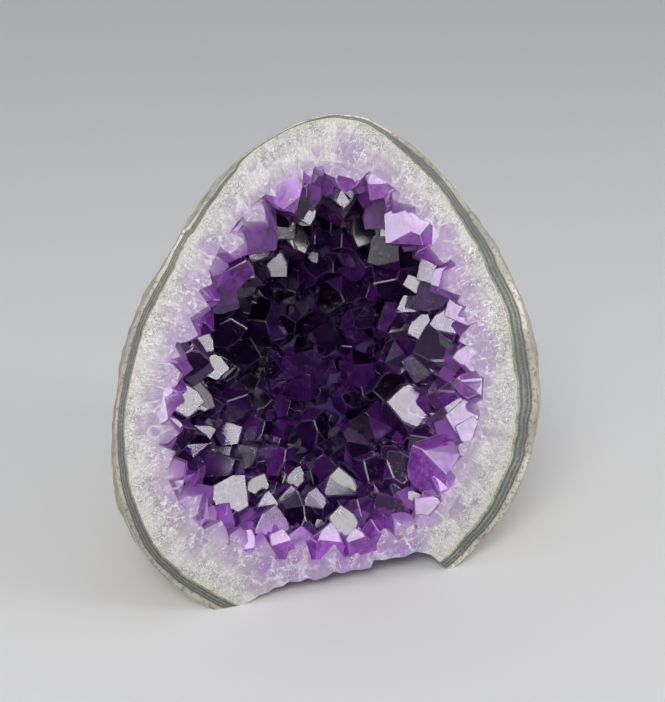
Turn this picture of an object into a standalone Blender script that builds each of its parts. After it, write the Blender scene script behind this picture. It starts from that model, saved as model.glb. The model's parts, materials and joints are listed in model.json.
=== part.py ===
"""Half of an amethyst geode, sawn across, polished on the cut and standing on a sawn base.

Metres, +Z up. The cut face looks along -Y and leans back. While it is being shaped, the half is
laid out from the middle of the face's bottom edge: u runs to the right across the face, v up the
face, and d straight back from it. At the end everything is moved so that the origin lies in the
middle of the bounding box, on the base.
"""

import math
import random

import bmesh
import bpy
from mathutils import Matrix, Vector, noise
from mathutils.bvhtree import BVHTree

MM = 0.001

# The cut face
FACE_LEAN = math.radians(12)
FACE_MIDDLE_V = 92 * MM
FACE_UP = Vector((0, math.sin(FACE_LEAN), math.cos(FACE_LEAN)))

# Each list goes round the face in equal steps, counter-clockwise from the right
RIM_RADIUS = [
    r * MM for r in (93, 89, 89, 95, 101, 93, 83, 76, 77, 81, 90, 100, 105, 107, 108, 106, 105, 100)
]
RING_WIDTH = [w * MM for w in (18, 15, 12, 13, 14, 13, 12, 12, 13, 13, 14, 18, 20, 14, 13, 19, 24, 22)]
SKIN_SLOPE = (0.52, 0.32, 0.13, -0.05, -0.5, -0.52, -0.42, -0.36, -0.28, -0.2, -0.1, 0.08, 0.15, 0.2, 0.35,
              0.55, 0.65, 0.6)

# The rough outside behind the face
BODY_DEPTH = 119 * MM
BODY_ROUNDNESS = 2.3
SLOPE_REACH = 60 * MM
BACK_DRIFT_U = 15 * MM
BACK_DRIFT_V = -8 * MM
RIM_EASE = ((0, 2 * MM), (0.6 * MM, 0.6 * MM), (2 * MM, 0))
BODY_STATIONS = [d * MM for d in (9, 19, 31, 44, 57, 69, 81, 92, 102, 110, 115.5)]
BODY_SEGMENTS = 66
LUMP_SIZE = 34 * MM
LUMP_HEIGHT = 3.4 * MM
LUMP_FADE = 22 * MM

# The hollow
HOLLOW_DEPTH = 95 * MM
HOLLOW_ROUNDNESS = 2.2
HOLLOW_STATIONS = [d * MM for d in (0, 14, 30, 47, 63, 78, 89)]
HOLLOW_SEGMENTS = 40
HOLLOW_SLOPE_SHARE = 0.8
HOLLOW_SLOPE_MOST = 0.15
IN_FRONT = 80 * MM

# The sawn base and the ragged notch between its two feet, as points (u, height) in millimetres
NOTCH = ((-38, -2), (-33, 2.5), (-25, 4.5), (-18, 6), (-8, 5.5), (2, 6.5), (12, 6), (17, 9), (27, 8.5),
         (36, 9.5), (43, 7), (48, 2), (52, -2))
NOTCH_DEPTH = 22 * MM
NOTCH_FLOOR = -6 * MM

# The crust of crystals that lines the hollow
GAP = 0.3 * MM
CRUST_LAYER = 5 * MM
CRUST_TOE = 11 * MM
TOE_ANGLE = math.radians(270)
TOE_SPREAD = math.radians(38)
CRUST_CLEARANCE = 1 * MM

# Quartz points: the angle between a point's end faces and its axis, and how it roots in the crust
END_FACE_TILT = math.radians(38.2)
ROOT_DEPTH = 9 * MM
TILT_MOST = math.radians(16)
FILLER_RADII = [r * MM for r in (8.5, 7.5, 6.5, 5.5)]
FILLER_TRIES = 900
FILLER_SPACING = 0.78
FILLER_LENGTH = (1.25, 1.8)
FILLER_LEAST_DEPTH = 3 * MM
FILLER_LEAST_HEIGHT = 4 * MM
SORT_ALONG = Vector((1, 0.618, 0.2718))
CRUST_SHARE = 0.6

# Where the viewer's eye is when the large points are seen at the places listed below
EYE = Vector((-0.15012, -0.45871, 0.30031))
SIGHT_STEP = 0.5 * MM
SIGHT_REACH = 152 * MM

# The large points: u and v on the face where each tip is seen, its radius, and its height over the wall
LARGE_POINTS = (
    (-15, 141, 11.5, 21), (-3, 152, 8, 15), (-24, 131, 7, 13), (-47, 127, 6, 12), (-44, 136, 5, 9),
    (2, 166, 8, 13), (15, 172, 7, 11), (4, 177, 5.5, 8), (-6, 179, 5.5, 7), (17, 163, 6, 12),
    (-8, 124, 8.5, 15), (2, 128, 6.5, 12), (8, 146, 7, 12), (27, 166, 4.5, 8), (25, 157, 8, 14),
    (37, 156, 7, 11), (46, 151, 5.5, 9), (31, 140, 10, 18), (44, 133, 10, 17), (54, 141, 5, 8),
    (61, 121, 7.5, 12), (49, 121, 6.5, 12), (54, 108, 10.5, 19), (65, 104, 6, 9), (21, 119, 6, 12),
    (34, 113, 6, 12), (15, 108, 9, 17), (-12, 108, 6, 11), (-5, 90, 9.5, 18), (-37, 97, 6.5, 12),
    (-25, 91, 6, 11), (-13, 81, 6, 12), (8, 80, 6.5, 13), (-40, 83, 6.5, 12), (-24, 74, 7.5, 14),
    (-34, 73, 6.5, 12), (-47, 70, 7, 12), (-57, 77, 7, 10), (-54, 91, 7.5, 11), (-59, 103, 6.5, 8),
    (-49, 112, 6, 10), (-35, 53, 9.5, 18), (-26, 53, 6, 12), (5, 51, 9, 17), (5, 35, 8, 15),
    (-10, 38, 7, 13), (-20, 29, 6.5, 12), (-50, 47, 6.5, 11), (-58, 38, 10, 17), (-66, 63, 7, 9),
    (40, 95, 10, 18), (25, 94, 8, 15), (27, 75, 12, 22), (38, 78, 6, 12), (52, 70, 6.5, 11),
    (57, 61, 7, 11), (57, 49, 8.5, 13), (36, 54, 10.5, 19), (24, 57, 5.5, 11), (45, 41, 8, 14),
    (37, 33, 7.5, 14), (20, 37, 7, 13), (18, 27, 6, 11), (58, 35, 8.5, 12), (51, 21, 10, 14),
    (56, 80, 6.5, 10), (-14, 46, 7, 13), (-66, 54, 6.5, 8), (-35, 31, 7, 13), (14, 91, 7, 13),
)

STONE_COLOUR = (0.42, 0.38, 0.31, 1)
CRYSTAL_COLOUR = (0.16, 0.04, 0.34, 1)

VARIATION = random.Random(41)


def make_material(name, colour, roughness):
    material = bpy.data.materials.new(name)
    material.use_nodes = True
    shader = material.node_tree.nodes["Principled BSDF"]
    shader.inputs["Base Color"].default_value = colour
    shader.inputs["Roughness"].default_value = roughness
    shader.inputs["Metallic"].default_value = 0
    return material


def make_object(name, bm, collection):
    mesh = bpy.data.meshes.new(name)
    bm.to_mesh(mesh)
    bm.free()
    made = bpy.data.objects.new(name, mesh)
    collection.objects.link(made)
    return made


def around(values, angle):
    """The value at an angle, on a smooth closed curve through values that are equally spaced."""
    count = len(values)
    place = (angle / math.tau) % 1 * count
    first = int(place)
    t = place - first
    before, here, after, beyond = (values[(first + step) % count] for step in (-1, 0, 1, 2))
    square = 2 * before - 5 * here + 4 * after - beyond
    cube = 3 * (here - after) + beyond - before
    return here + 0.5 * t * (after - before + t * (square + t * cube))


def fall_off(d, depth, roundness):
    """How far the section has shrunk at depth d: 1 at the face, 0 at the back."""
    share = min(1, max(0, d / depth))
    return (1 - share**roundness) ** (1 / roundness)


def slope_reach(d):
    """How far the outward slope of the skin carries, levelling off at twice SLOPE_REACH."""
    d = min(max(d, 0), SLOPE_REACH)
    return d * (1 - d / (2 * SLOPE_REACH))


def place(radius, angle, d, depth):
    """The point at this radius and angle on the section d behind the face."""
    drift = (max(d, 0) / depth) ** 2
    u = radius * math.cos(angle) + BACK_DRIFT_U * drift
    v = radius * math.sin(angle) + FACE_MIDDLE_V + BACK_DRIFT_V * drift
    return Vector((u, d, 0)) + FACE_UP * v


def body_point(angle, d, inset):
    outward = around(RIM_RADIUS, angle) + around(SKIN_SLOPE, angle) * slope_reach(d)
    radius = outward * fall_off(d, BODY_DEPTH, BODY_ROUNDNESS) - inset
    point = place(radius, angle, d, BODY_DEPTH)
    lump = noise.noise(point / LUMP_SIZE) + 0.4 * noise.noise(point / LUMP_SIZE * 2.3)
    outwards = Vector((math.cos(angle), 0.3, math.sin(angle))).normalized()
    return point + outwards * lump * LUMP_HEIGHT * min(1, max(0, d) / LUMP_FADE)


def toe(angle):
    """How much thicker the crust is towards the base, where its broken edge shows in the notch."""
    away = abs((angle - TOE_ANGLE + math.pi) % math.tau - math.pi)
    if away > TOE_SPREAD:
        return 0
    return CRUST_TOE * math.cos(away / TOE_SPREAD * math.pi / 2) ** 2


def hollow_radius(angle, d):
    slope = HOLLOW_SLOPE_SHARE * min(around(SKIN_SLOPE, angle), HOLLOW_SLOPE_MOST)
    at_face = around(RIM_RADIUS, angle) - around(RING_WIDTH, angle)
    return (at_face + slope * slope_reach(d)) * fall_off(d, HOLLOW_DEPTH, HOLLOW_ROUNDNESS)


def egg(stations, front, back, segments):
    """A closed bowl: a sphere whose rings are moved to the stations, with poles at front and back.

    Each station is a function that gives the point at an angle.
    """
    bm = bmesh.new()
    rings = len(stations) + 1
    bmesh.ops.create_uvsphere(bm, u_segments=segments, v_segments=rings, radius=1)
    for vert in bm.verts:
        row = round(math.acos(max(-1, min(1, vert.co.z))) / math.pi * rings)
        angle = math.atan2(vert.co.y, vert.co.x)
        if row == 0:
            vert.co = front
        elif row == rings:
            vert.co = back
        else:
            vert.co = stations[row - 1](angle)
    bmesh.ops.triangulate(bm, faces=bm.faces, quad_method="FIXED")
    bmesh.ops.recalc_face_normals(bm, faces=bm.faces)
    return bm


def body_bmesh():
    stations = [lambda angle, d=d, inset=inset: body_point(angle, d, inset) for d, inset in RIM_EASE]
    stations += [lambda angle, d=d: body_point(angle, d, 0) for d in BODY_STATIONS]
    return egg(stations, place(0, 0, 0, BODY_DEPTH), place(0, 0, BODY_DEPTH, BODY_DEPTH), BODY_SEGMENTS)


def hollow_bmesh(inset, front, with_toe):
    """The hollow, made smaller all round by inset and reaching front metres before the face."""

    def wall(angle, d):
        thicker = inset + (toe(angle) * fall_off(d, HOLLOW_DEPTH, 1) if with_toe else 0)
        forward = d * (1 - inset / HOLLOW_DEPTH)
        return place(hollow_radius(angle, d) - thicker, angle, forward, HOLLOW_DEPTH)

    stations = [lambda angle: wall(angle, 0) - Vector((0, front, 0))] if front else []
    stations += [lambda angle, d=d: wall(angle, d) for d in HOLLOW_STATIONS]
    middle = place(0, 0, 0, HOLLOW_DEPTH) - Vector((0, front, 0))
    return egg(stations, middle, place(0, 0, HOLLOW_DEPTH - inset, HOLLOW_DEPTH), HOLLOW_SEGMENTS)


def below_bmesh(top):
    """A block under the height top, wider than the half."""
    bm = bmesh.new()
    bmesh.ops.create_cube(bm, size=1)
    bmesh.ops.scale(bm, vec=(0.4, 0.4, 0.1), verts=bm.verts)
    bmesh.ops.translate(bm, vec=(0, 0.08, top - 0.05), verts=bm.verts)
    return bm


def notch_bmesh():
    """The space between the feet, as a ragged outline drawn straight back under the face."""
    bm = bmesh.new()
    corners = [bm.verts.new((u * MM, -IN_FRONT, height * MM)) for u, height in NOTCH]
    corners += [bm.verts.new((u * MM, -IN_FRONT, NOTCH_FLOOR)) for u in (NOTCH[-1][0], NOTCH[0][0])]
    outline = bm.faces.new(corners)
    drawn = bmesh.ops.extrude_face_region(bm, geom=[outline])
    moved = [item for item in drawn["geom"] if isinstance(item, bmesh.types.BMVert)]
    bmesh.ops.translate(bm, vec=(0, IN_FRONT + NOTCH_DEPTH, 0), verts=moved)
    bmesh.ops.recalc_face_normals(bm, faces=bm.faces)
    return bm


def cut_flat(bm, point, normal):
    """Removes what lies beyond a plane and closes the cut."""
    geometry = bm.verts[:] + bm.edges[:] + bm.faces[:]
    cut = bmesh.ops.bisect_plane(
        bm, geom=geometry, plane_co=point, plane_no=normal, clear_outer=True, dist=1e-7
    )
    edges = [item for item in cut["geom_cut"] if isinstance(item, bmesh.types.BMEdge)]
    if edges:
        bmesh.ops.contextual_create(bm, geom=edges)


def add_point(bm, root, axis, radius, height, spin):
    """Adds one quartz point: six sides and six end faces, three of them large, rooted below the wall."""
    point = bmesh.new()
    bmesh.ops.create_cube(point, size=1)
    bmesh.ops.scale(point, vec=(4 * radius, 4 * radius, 2 * (height + ROOT_DEPTH)), verts=point.verts)
    tip = Vector((0, 0, height))
    for side in range(6):
        turn = side * math.pi / 3 + spin
        away = Vector((math.cos(turn), math.sin(turn), 0))
        cut_flat(point, away * radius * VARIATION.uniform(0.84, 1.1), away)
        end_normal = away * math.cos(END_FACE_TILT) + Vector((0, 0, math.sin(END_FACE_TILT)))
        step_out = VARIATION.uniform(0, 0.06) if side % 2 else VARIATION.uniform(0.1, 0.42)
        cut_flat(point, tip + end_normal * radius * step_out, end_normal)
    cut_flat(point, Vector((0, 0, -ROOT_DEPTH)), Vector((0, 0, -1)))
    turned = axis.to_track_quat("Z", "Y").to_matrix().to_4x4()
    bmesh.ops.transform(point, matrix=Matrix.Translation(root) @ turned, verts=point.verts)
    bmesh.ops.recalc_face_normals(point, faces=point.faces)
    held = bpy.data.meshes.new("point")
    point.to_mesh(held)
    point.free()
    bm.from_mesh(held)
    bpy.data.meshes.remove(held)


def tilted(axis, most):
    """The axis turned a little in some direction."""
    across = axis.orthogonal().normalized()
    across.rotate(Matrix.Rotation(VARIATION.uniform(0, math.tau), 3, axis))
    turned = axis.copy()
    turned.rotate(Matrix.Rotation(VARIATION.uniform(0, most), 3, across))
    return turned


def seen_tip(wall, u, v, height):
    """The first place on the sight line through (u, v) that is within height of the wall."""
    on_face = Vector((u * MM, 0, 0)) + FACE_UP * v * MM
    along = (on_face - EYE).normalized()
    travelled = 0
    while travelled < SIGHT_REACH:
        tip = on_face + along * travelled
        root, _, _, distance = wall.find_nearest(tip)
        if distance <= height:
            break
        travelled += SIGHT_STEP
    return tip, root


def point_places(wall_bmesh):
    """The points to grow, as (root, axis, radius, height): the large ones, then fillers between them."""
    wall = BVHTree.FromBMesh(wall_bmesh)
    places = []
    for u, v, radius, height in LARGE_POINTS:
        tip, root = seen_tip(wall, u, v, height * MM)
        axis = tilted((tip - root).normalized(), TILT_MOST / 2)
        places.append((root, axis, radius * MM, (tip - root).length))
    for radius in FILLER_RADII:
        for _ in range(FILLER_TRIES):
            angle = VARIATION.uniform(0, math.tau)
            depth = VARIATION.uniform(FILLER_LEAST_DEPTH, HOLLOW_DEPTH)
            on_bowl = place(hollow_radius(angle, depth) - CRUST_LAYER, angle, depth, HOLLOW_DEPTH)
            root, normal, _, _ = wall.find_nearest(on_bowl)
            if root.z < FILLER_LEAST_HEIGHT:
                continue
            if any((root - other).length < FILLER_SPACING * (radius + r) for other, _, r, _ in places):
                continue
            height = radius * VARIATION.uniform(*FILLER_LENGTH)
            places.append((root, tilted(-normal, TILT_MOST), radius, height))
    return places


def points_bmesh():
    wall = hollow_bmesh(CRUST_LAYER, IN_FRONT, with_toe=True)
    bm = bmesh.new()
    for root, axis, radius, height in point_places(wall):
        add_point(bm, root, axis, radius, height, VARIATION.uniform(0, math.tau))
    wall.free()
    return bm


def add_boolean(target, cutter, self_overlap=False):
    modifier = target.modifiers.new(cutter.name, "BOOLEAN")
    modifier.operation = "DIFFERENCE"
    modifier.solver = "EXACT"
    modifier.use_self = self_overlap
    modifier.object = cutter


def apply_modifiers(target):
    """Replaces the object's mesh with the evaluated one, and drops its modifiers."""
    bpy.context.view_layer.update()
    graph = bpy.context.evaluated_depsgraph_get()
    mesh = bpy.data.meshes.new_from_object(target.evaluated_get(graph))
    target.modifiers.clear()
    target.data = mesh


def put_in_order(bm):
    """Lays the mesh out again sorted by place, because a Boolean leaves its elements in no fixed order."""
    bm.verts.sort(key=lambda vert: vert.co.dot(SORT_ALONG))
    bm.verts.index_update()
    places = [vert.co.copy() for vert in bm.verts]
    faces = []
    for face in bm.faces:
        corners = [vert.index for vert in face.verts]
        first = corners.index(min(corners))
        faces.append(corners[first:] + corners[:first])
    ordered = bpy.data.meshes.new("ordered")
    ordered.from_pydata(places, [], sorted(faces))
    bm.clear()
    bm.from_mesh(ordered)
    bpy.data.meshes.remove(ordered)


def keep_largest_body(target):
    """Removes every loose shell but the one with the most faces."""
    bm = bmesh.new()
    bm.from_mesh(target.data)
    put_in_order(bm)
    seen = set()
    shells = []
    for start in bm.faces:
        if start in seen:
            continue
        seen.add(start)
        shell = [start]
        for face in shell:
            for other in (near for edge in face.edges for near in edge.link_faces if near not in seen):
                if other not in seen:
                    seen.add(other)
                    shell.append(other)
        shells.append(shell)
    shells.sort(key=len)
    loose = [face for shell in shells[:-1] for face in shell]
    bmesh.ops.delete(bm, geom=loose, context="FACES")
    bmesh.ops.triangulate(bm, faces=bm.faces)
    bm.to_mesh(target.data)
    bm.free()


def thin_out(target, share):
    """Collapses the smallest edges, mostly where points meet, until this share of the triangles is left."""
    modifier = target.modifiers.new("thin out", "DECIMATE")
    modifier.ratio = share
    apply_modifiers(target)


def main():
    for old in list(bpy.data.objects):
        bpy.data.objects.remove(old)
    parts = bpy.data.collections.new("geode_half")
    cutters = bpy.data.collections.new("cutters")
    bpy.context.scene.collection.children.link(parts)
    bpy.context.scene.collection.children.link(cutters)

    stone = make_object("stone_half", body_bmesh(), parts)
    stone.data.materials.append(make_material("rough stone", STONE_COLOUR, 0.7))
    crust = make_object("crystal_crust", hollow_bmesh(GAP, 0, with_toe=False), parts)
    crust.data.materials.append(make_material("amethyst", CRYSTAL_COLOUR, 0.15))

    hollow = make_object("hollow", hollow_bmesh(0, IN_FRONT, with_toe=False), cutters)
    under = make_object("under the base", below_bmesh(0), cutters)
    under_crust = make_object("under the crust", below_bmesh(CRUST_CLEARANCE), cutters)
    notch = make_object("notch", notch_bmesh(), cutters)
    points = make_object("points", points_bmesh(), cutters)
    space = make_object("free space", hollow_bmesh(CRUST_LAYER, IN_FRONT, with_toe=True), cutters)

    for cutter in (hollow, under, notch):
        add_boolean(stone, cutter)

    add_boolean(space, points, self_overlap=True)
    apply_modifiers(space)
    keep_largest_body(space)
    for cutter in (under_crust, notch, space):
        add_boolean(crust, cutter)
    apply_modifiers(crust)
    keep_largest_body(crust)
    thin_out(crust, CRUST_SHARE)

    for cutter in cutters.objects:
        cutter.hide_render = True
        cutter.display_type = "WIRE"

    origin = bpy.data.objects.new("origin", None)
    parts.objects.link(origin)
    bpy.context.view_layer.update()
    evaluated = stone.evaluated_get(bpy.context.evaluated_depsgraph_get())
    corners = [Vector(corner) for corner in evaluated.bound_box]
    origin.location = (
        -(min(c.x for c in corners) + max(c.x for c in corners)) / 2,
        -(min(c.y for c in corners) + max(c.y for c in corners)) / 2,
        -min(c.z for c in corners),
    )
    for child in (stone, crust, *cutters.objects):
        child.parent = origin
    print("the origin moved by", tuple(round(value, 5) for value in origin.location))


main()
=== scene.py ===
# Half of an amethyst geode, sawn and polished on the cut, standing on its sawn base
import json
import math
import random

import bmesh
import bpy
import numpy as np
from mathutils import Matrix, Vector, noise
from mathutils.bvhtree import BVHTree

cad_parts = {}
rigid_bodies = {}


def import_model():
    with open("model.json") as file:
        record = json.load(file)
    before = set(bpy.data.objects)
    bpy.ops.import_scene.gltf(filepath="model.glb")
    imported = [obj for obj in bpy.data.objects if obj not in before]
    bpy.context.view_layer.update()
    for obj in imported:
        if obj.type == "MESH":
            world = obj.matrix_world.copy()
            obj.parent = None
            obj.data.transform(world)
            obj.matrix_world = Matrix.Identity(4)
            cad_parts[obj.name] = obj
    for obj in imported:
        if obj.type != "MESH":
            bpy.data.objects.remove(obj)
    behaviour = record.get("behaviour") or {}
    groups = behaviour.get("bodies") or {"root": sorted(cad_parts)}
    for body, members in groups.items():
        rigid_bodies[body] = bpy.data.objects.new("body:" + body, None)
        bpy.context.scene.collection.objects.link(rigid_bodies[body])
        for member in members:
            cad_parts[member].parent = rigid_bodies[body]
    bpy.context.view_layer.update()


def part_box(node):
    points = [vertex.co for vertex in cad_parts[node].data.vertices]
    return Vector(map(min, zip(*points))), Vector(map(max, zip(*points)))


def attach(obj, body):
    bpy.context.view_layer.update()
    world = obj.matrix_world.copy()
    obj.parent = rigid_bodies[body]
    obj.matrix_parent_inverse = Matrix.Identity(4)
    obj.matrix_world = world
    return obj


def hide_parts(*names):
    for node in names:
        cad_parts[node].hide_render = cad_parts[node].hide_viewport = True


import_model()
mm = 0.001
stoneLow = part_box("stone_half")[0]

# The half's own shape: u runs right across the face, v up the face, d straight back from it
half = {
    "lean": math.radians(12),
    "middleU": -11.36 * mm,  # where u = 0 stands in the frame
    "middleV": 92 * mm,
    # these go round the face in equal steps, counter-clockwise from the right
    "rimRadius": (93, 89, 89, 95, 101, 93, 83, 76, 77, 81, 90, 100, 105, 107, 108, 106, 105, 100),
    "ringWidth": (18, 15, 12, 13, 14, 13, 12, 12, 13, 13, 14, 18, 20, 14, 13, 19, 24, 22),
    "rindWidth": (9.5, 8, 6, 4.6, 1.8, 0.8, 2.6, 3.9, 4.2, 4.0, 4.4, 5.2, 6, 4.5, 4.5, 6.5, 9, 10),
    "skinSlope": (0.52, 0.32, 0.13, -0.05, -0.5, -0.52, -0.42, -0.36, -0.28, -0.2, -0.1, 0.08, 0.15,
                  0.2, 0.35, 0.55, 0.65, 0.6),
    "depth": 119 * mm,
    "roundness": 2.3,
    "slopeReach": 60 * mm,
    "driftU": 15 * mm,
    "driftV": -8 * mm,
    "lumpSize": 34 * mm,
    "lumpHeight": 3.4 * mm,
    "lumpFade": 22 * mm,
}
hollow = {
    "depth": 95 * mm,
    "roundness": 2.2,
    "slopeShare": 0.8,
    "slopeMost": 0.15,
    "stations": (0, 14, 30, 47, 63, 78, 89),
    "segments": 40,
    "fineSegments": 120,
    "toeSpread": math.radians(38),  # to each side of straight down
    "mouth": 80 * mm,  # how far a cutter of the hollow stands out of the face
}
faceUp = Vector((0, math.sin(half["lean"]), math.cos(half["lean"])))
faceOrigin = Vector((half["middleU"], stoneLow.y, 0))


# Curves and mappings that every piece shares
def around(values, angle):
    count = len(values)
    spot = (angle / math.tau) % 1 * count
    first = int(spot)
    t = spot - first
    before, here, after, beyond = (values[(first + step) % count] for step in (-1, 0, 1, 2))
    square = 2 * before - 5 * here + 4 * after - beyond
    cube = 3 * (here - after) + beyond - before
    return here + 0.5 * t * (after - before + t * (square + t * cube))


def fallOff(d, depth, roundness):
    share = min(1, max(0, d / depth))
    return (1 - share**roundness) ** (1 / roundness)


def slopeReach(d):
    d = min(max(d, 0), half["slopeReach"])
    return d * (1 - d / (2 * half["slopeReach"]))


def place(radius, angle, d, depth):
    drift = (max(d, 0) / depth) ** 2
    u = radius * math.cos(angle) + half["driftU"] * drift
    v = radius * math.sin(angle) + half["middleV"] + half["driftV"] * drift
    return Vector((u, d, 0)) + faceUp * v


def hollowRadius(angle, d):
    slope = hollow["slopeShare"] * min(around(half["skinSlope"], angle), hollow["slopeMost"])
    atFace = (around(half["rimRadius"], angle) - around(half["ringWidth"], angle)) * mm
    return (atFace + slope * slopeReach(d)) * fallOff(d, hollow["depth"], hollow["roundness"])


def egg(stations, front, back, segments):  # a sphere whose rings are moved to the stations
    bm = bmesh.new()
    rings = len(stations) + 1
    bmesh.ops.create_uvsphere(bm, u_segments=segments, v_segments=rings, radius=1)
    for vert in bm.verts:
        row = round(math.acos(max(-1, min(1, vert.co.z))) / math.pi * rings)
        angle = math.atan2(vert.co.y, vert.co.x)
        vert.co = front if row == 0 else back if row == rings else stations[row - 1](angle)
    bmesh.ops.triangulate(bm, faces=bm.faces, quad_method="FIXED")
    bmesh.ops.recalc_face_normals(bm, faces=bm.faces)
    return bm


def asObject(name, bm):
    mesh = bpy.data.meshes.new(name)
    bm.to_mesh(mesh)
    bm.free()
    made = bpy.data.objects.new(name, mesh)
    bpy.context.scene.collection.objects.link(made)
    return made


def applied(target):  # the evaluated mesh in place of the live modifiers
    bpy.context.view_layer.update()
    evaluated = target.evaluated_get(bpy.context.evaluated_depsgraph_get())
    mesh = bpy.data.meshes.new_from_object(evaluated)
    target.modifiers.clear()
    target.data = mesh
    return target


cleaning = {
    "sliver": 0.012 * mm,  # corners closer than this are merged
    "crumbFaces": 40,  # islands with fewer faces go
}


def cleaned(mesh):  # slivers merged, and the crumbs that the Booleans cut loose taken away
    bm = bmesh.new()
    bm.from_mesh(mesh)
    bmesh.ops.remove_doubles(bm, verts=bm.verts, dist=cleaning["sliver"])
    bmesh.ops.dissolve_degenerate(bm, dist=cleaning["sliver"], edges=bm.edges)
    seen, crumbs = set(), []
    for face in bm.faces:
        if face in seen:
            continue
        seen.add(face)
        island = [face]
        for member in island:
            for other in [linked for edge in member.edges for linked in edge.link_faces]:
                if other not in seen:
                    seen.add(other)
                    island.append(other)
        if len(island) < cleaning["crumbFaces"]:
            crumbs += island
    bmesh.ops.delete(bm, geom=crumbs, context="FACES")
    corners = {}
    for face in bm.faces:
        corners.setdefault(frozenset(face.verts), []).append(face)
    folds = [face for twins in corners.values() if len(twins) > 1 for face in twins]
    bmesh.ops.delete(bm, geom=folds, context="FACES")
    bmesh.ops.holes_fill(bm, edges=[edge for edge in bm.edges if edge.is_boundary], sides=0)
    bmesh.ops.triangulate(bm, faces=bm.faces)
    bm.to_mesh(mesh)
    bm.free()
    mesh.validate()
    return mesh


def finishWith(mesh, *finishes):  # Booleans leave empty slots, so the slots are made anew
    mesh.materials.clear()
    for finish in finishes:
        mesh.materials.append(finish)


def cut(target, cutter, operation="DIFFERENCE"):
    modifier = target.modifiers.new(cutter.name, "BOOLEAN")
    modifier.operation = operation
    modifier.solver = "MANIFOLD"
    modifier.object = cutter
    return applied(target)


def forget(*helpers):
    for helper in helpers:
        bpy.data.objects.remove(helper)


# Node helpers
class Wires:  # short ways to add and join shader nodes in one tree
    def __init__(self, tree):
        self.tree = tree

    def add(self, kind, settings=None, **inputs):
        node = self.tree.nodes.new(kind)
        for key, value in (settings or {}).items():
            setattr(node, key, value)
        for key, value in inputs.items():
            self.feed(node, key.replace("_", " "), value)
        return node

    def feed(self, node, socket, value):
        numbered = socket[0] == "i" and socket[1:].isdigit()
        target = node.inputs[int(socket[1:])] if numbered else node.inputs[socket]
        if isinstance(value, bpy.types.NodeSocket):
            self.tree.links.new(value, target)
        else:
            target.default_value = value

    def math(self, operation, a, b=0.0):
        return self.add("ShaderNodeMath", {"operation": operation}, i0=a, i1=b).outputs[0]

    def times(self, first, *others):
        for other in others:
            first = self.math("MULTIPLY", first, other)
        return first

    def fromMiddle(self, value, middle=0.5):
        return self.math("SUBTRACT", value, middle)

    def together(self, x, y, z):
        return self.add("ShaderNodeCombineXYZ", X=x, Y=y, Z=z).outputs[0]

    def apart(self, vector):
        return self.add("ShaderNodeSeparateXYZ", i0=vector).outputs

    def shaded(self, colour, value):
        return self.mix(1.0, colour, self.together(value, value, value), "MULTIPLY")

    def cells(self, vector, scale, output="Color", feature="F1"):
        return self.add("ShaderNodeTexVoronoi", {"feature": feature}, Vector=vector,
                        Scale=scale).outputs[output]

    def vector(self, operation, a, b=(0, 0, 0)):
        return self.add("ShaderNodeVectorMath", {"operation": operation}, i0=a, i1=b).outputs[0]

    def noise(self, vector, scale, detail=3.0, roughness=0.5, distortion=0.0):
        return self.add("ShaderNodeTexNoise", Vector=vector, Scale=scale, Detail=detail,
                        Roughness=roughness, Distortion=distortion).outputs["Fac"]

    def spread(self, value, low, high, toLow=0.0, toHigh=1.0, smooth=True):
        kind = "SMOOTHSTEP" if smooth else "LINEAR"
        return self.add("ShaderNodeMapRange", {"interpolation_type": kind}, Value=value, From_Min=low,
                        From_Max=high, To_Min=toLow, To_Max=toHigh).outputs[0]

    def mix(self, share, a, b, blend="MIX"):
        node = self.add("ShaderNodeMix", {"data_type": "RGBA", "blend_type": blend})
        self.feed(node, "i0", share)
        self.feed(node, "i6", a)
        self.feed(node, "i7", b)
        return node.outputs[2]

    def ramp(self, value, stops):
        node = self.add("ShaderNodeValToRGB", Fac=value)
        elements = node.color_ramp.elements
        while len(elements) < len(stops):
            elements.new(0.5)
        for element, (spot, colour) in zip(elements, stops):
            element.position = spot
            element.color = (*colour, 1)
        return node.outputs[0]

    def attribute(self, name):
        return self.add("ShaderNodeAttribute", {"attribute_name": name}).outputs["Fac"]

    def bump(self, height, distance, strength=1.0):
        bump = self.add("ShaderNodeBump", Height=height, Distance=distance, Strength=strength)
        return bump.outputs[0]


def newMaterial(name):
    material = bpy.data.materials.new(name)
    material.use_nodes = True
    material.node_tree.nodes.clear()
    w = Wires(material.node_tree)
    shader = w.add("ShaderNodeBsdfPrincipled")
    output = w.add("ShaderNodeOutputMaterial", Surface=shader.outputs[0])
    here = w.add("ShaderNodeTexCoord").outputs["Object"]
    return material, shader, output, w, here


def placeGroup():  # where a point of any piece lies on the half, from its Object coordinates
    tree = bpy.data.node_groups.new("place on the half", "ShaderNodeTree")
    for name, kind in (("Object", "Vector"), ("Front", "Float"), ("Lean", "Float"), ("Middle", "Float")):
        tree.interface.new_socket(name, in_out="INPUT", socket_type="NodeSocket" + kind)
    for name in ("Behind", "Across", "Height"):
        tree.interface.new_socket(name, in_out="OUTPUT", socket_type="NodeSocketFloat")
    w = Wires(tree)
    given = tree.nodes.new("NodeGroupInput").outputs
    apart = w.apart(given["Object"])
    fromFront = w.math("SUBTRACT", apart["Y"], given["Front"])
    leaned = w.times(apart["Z"], w.math("TANGENT", given["Lean"]))
    output = tree.nodes.new("NodeGroupOutput")
    w.feed(output, "Behind", w.math("SUBTRACT", fromFront, leaned))
    w.feed(output, "Across", w.math("SUBTRACT", apart["X"], given["Middle"]))
    w.feed(output, "Height", apart["Z"])
    return tree


halfPlace = placeGroup()


def onHalf(w, here):
    placed = w.add("ShaderNodeGroup", {"node_tree": halfPlace}, Object=here, Front=stoneLow.y,
                   Lean=half["lean"], Middle=half["middleU"])
    return placed.outputs


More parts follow.
